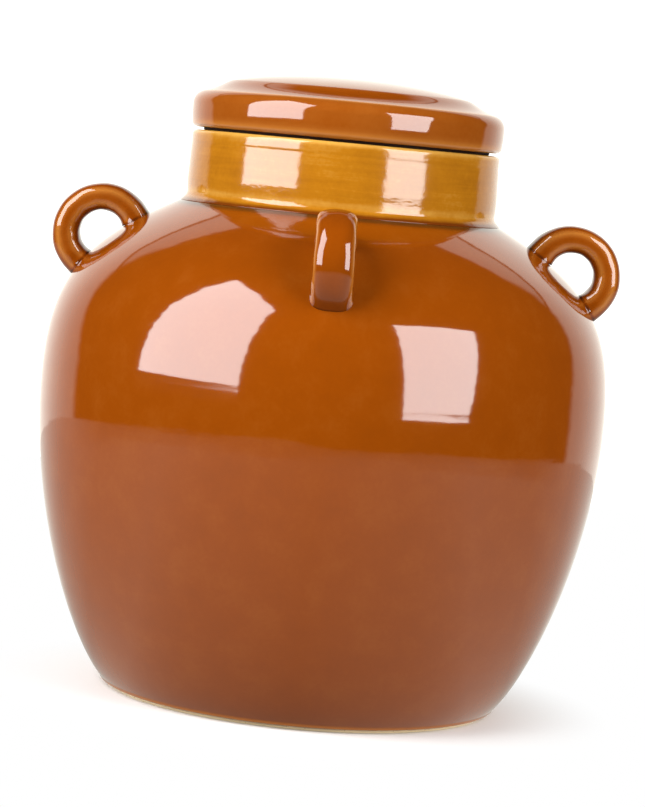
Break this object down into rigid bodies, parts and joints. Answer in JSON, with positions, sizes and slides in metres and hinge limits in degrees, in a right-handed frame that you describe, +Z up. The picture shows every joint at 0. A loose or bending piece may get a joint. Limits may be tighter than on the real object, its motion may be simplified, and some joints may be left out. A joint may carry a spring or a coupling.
{
  "type": "ceramic crock fermenter",
  "caption": "Round-shouldered glazed stoneware crock with a straight neck, a domed drop-in lid on a soft seal, cord ears round the shoulder and loose half-moon weights inside.",
  "frame": {"origin": "centre of the foot, on the surface that the jar stands on", "axes": "+Z up along the axis of the jar and its lid, -Y out through the front ear, +X out through the right ear"},
  "size_m": [0.222, 0.222, 0.2412],
  "materials": {
    "brown_glaze": "gloss",
    "ochre_glaze": "gloss",
    "bare_clay": "matte",
    "weight_clay": "matte",
    "silicone": "satin"
  },
  "bodies": {
    "jar": {"jar_body": "brown_glaze", "foot_ring": "bare_clay", "neck_collar": "ochre_glaze", "ear_front": "brown_glaze", "ear_right": "brown_glaze", "ear_back": "brown_glaze", "ear_left": "brown_glaze"},
    "seal": {"lid_seal": "silicone"},
    "lid": {"lid_shell": "brown_glaze", "lid_flange": "brown_glaze"},
    "weight_left": {"weight_left": "weight_clay"},
    "weight_right": {"weight_right": "weight_clay"}
  },
  "joints": [
    {"name": "lid_lift", "type": "slide", "parent": "jar", "child": "seal", "axis": [0, 0, 1], "range_m": [0, 0.12]},
    {"name": "lid_turn", "type": "hinge", "parent": "seal", "child": "lid", "pos_m": [0, 0, 0.218], "axis": [0, 0, 1], "continuous": true},
    {"name": "weight_left_rise", "type": "slide", "parent": "jar", "child": "weight_left", "axis": [0, 0, 1], "range_m": [0, 0.135]},
    {"name": "weight_right_rise", "type": "slide", "parent": "jar", "child": "weight_right", "axis": [0, 0, 1], "range_m": [0, 0.135]}
  ]
}
